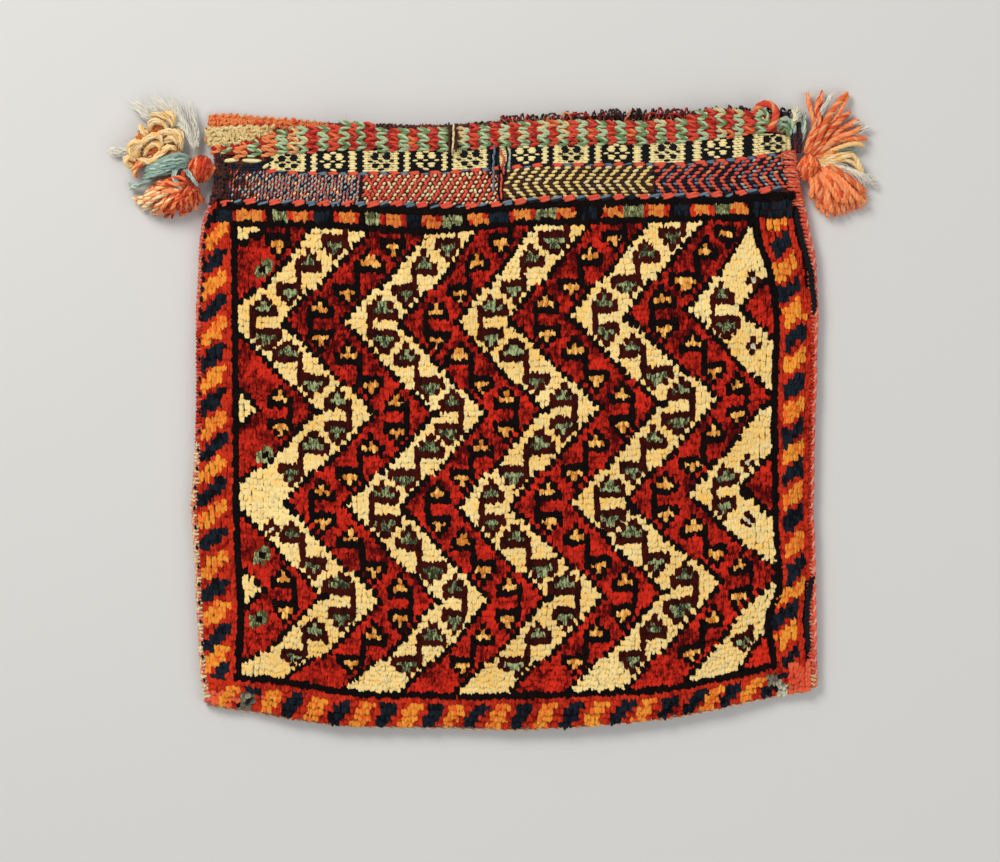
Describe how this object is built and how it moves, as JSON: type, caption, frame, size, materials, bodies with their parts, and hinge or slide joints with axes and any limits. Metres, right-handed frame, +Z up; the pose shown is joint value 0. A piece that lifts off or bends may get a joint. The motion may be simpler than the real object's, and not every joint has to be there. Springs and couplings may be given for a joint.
{
  "type": "vanity bag",
  "caption": "Small flat knotted-pile vanity bag with a zigzag face, flat-woven mouth bands, laced sides and a wool tassel at each upper corner.",
  "frame": {"origin": "centre of the part's box on the table it lies on", "axes": "+X to the right across the pile face, +Y towards the mouth, +Z up out of the pile face; the bag lies flat on its plain back"},
  "size_m": [0.3694, 0.3076, 0.0163],
  "materials": {
    "pile_wool": "matte wool",
    "ivory_wool": "matte wool",
    "salmon_wool": "matte wool",
    "brown_wool": "matte wool",
    "plait_wool": "matte wool",
    "rim_wool": "matte wool",
    "orange_wool": "matte wool",
    "yellow_wool": "matte wool",
    "blue_wool": "matte wool",
    "white_cotton": "matte cotton"
  },
  "bodies": {
    "bag": {"woven_body": "pile_wool", "left_side_lacing": "ivory_wool", "right_side_lacing": "salmon_wool", "left_corner_wrap": "brown_wool", "right_corner_wrap": "salmon_wool", "mouth_plait": "plait_wool", "back_rim_cord": "rim_wool", "plait_end_tuft": "blue_wool"},
    "left_tassel": {"left_tassel_head": "orange_wool", "left_tassel_orange_hank": "orange_wool", "left_tassel_blue_hank": "blue_wool", "left_tassel_yellow_hank": "yellow_wool", "left_tassel_white_ends": "white_cotton"},
    "right_tassel": {"right_tassel_head": "orange_wool", "right_tassel_upper_hank": "orange_wool", "right_tassel_yellow_hank": "yellow_wool", "right_tassel_lower_hank": "orange_wool", "right_tassel_white_ends": "white_cotton"}
  },
  "joints": [
    {"name": "left_tassel_swing", "type": "hinge", "parent": "bag", "child": "left_tassel", "pos_m": [-0.14182, 0.11542, 0.0058], "axis": [0, 1, 0], "range_deg": [0, 105]},
    {"name": "right_tassel_swing", "type": "hinge", "parent": "bag", "child": "right_tassel", "pos_m": [0.15146, 0.11638, 0.0052], "axis": [0, -1, 0], "range_deg": [0, 105]}
  ]
}
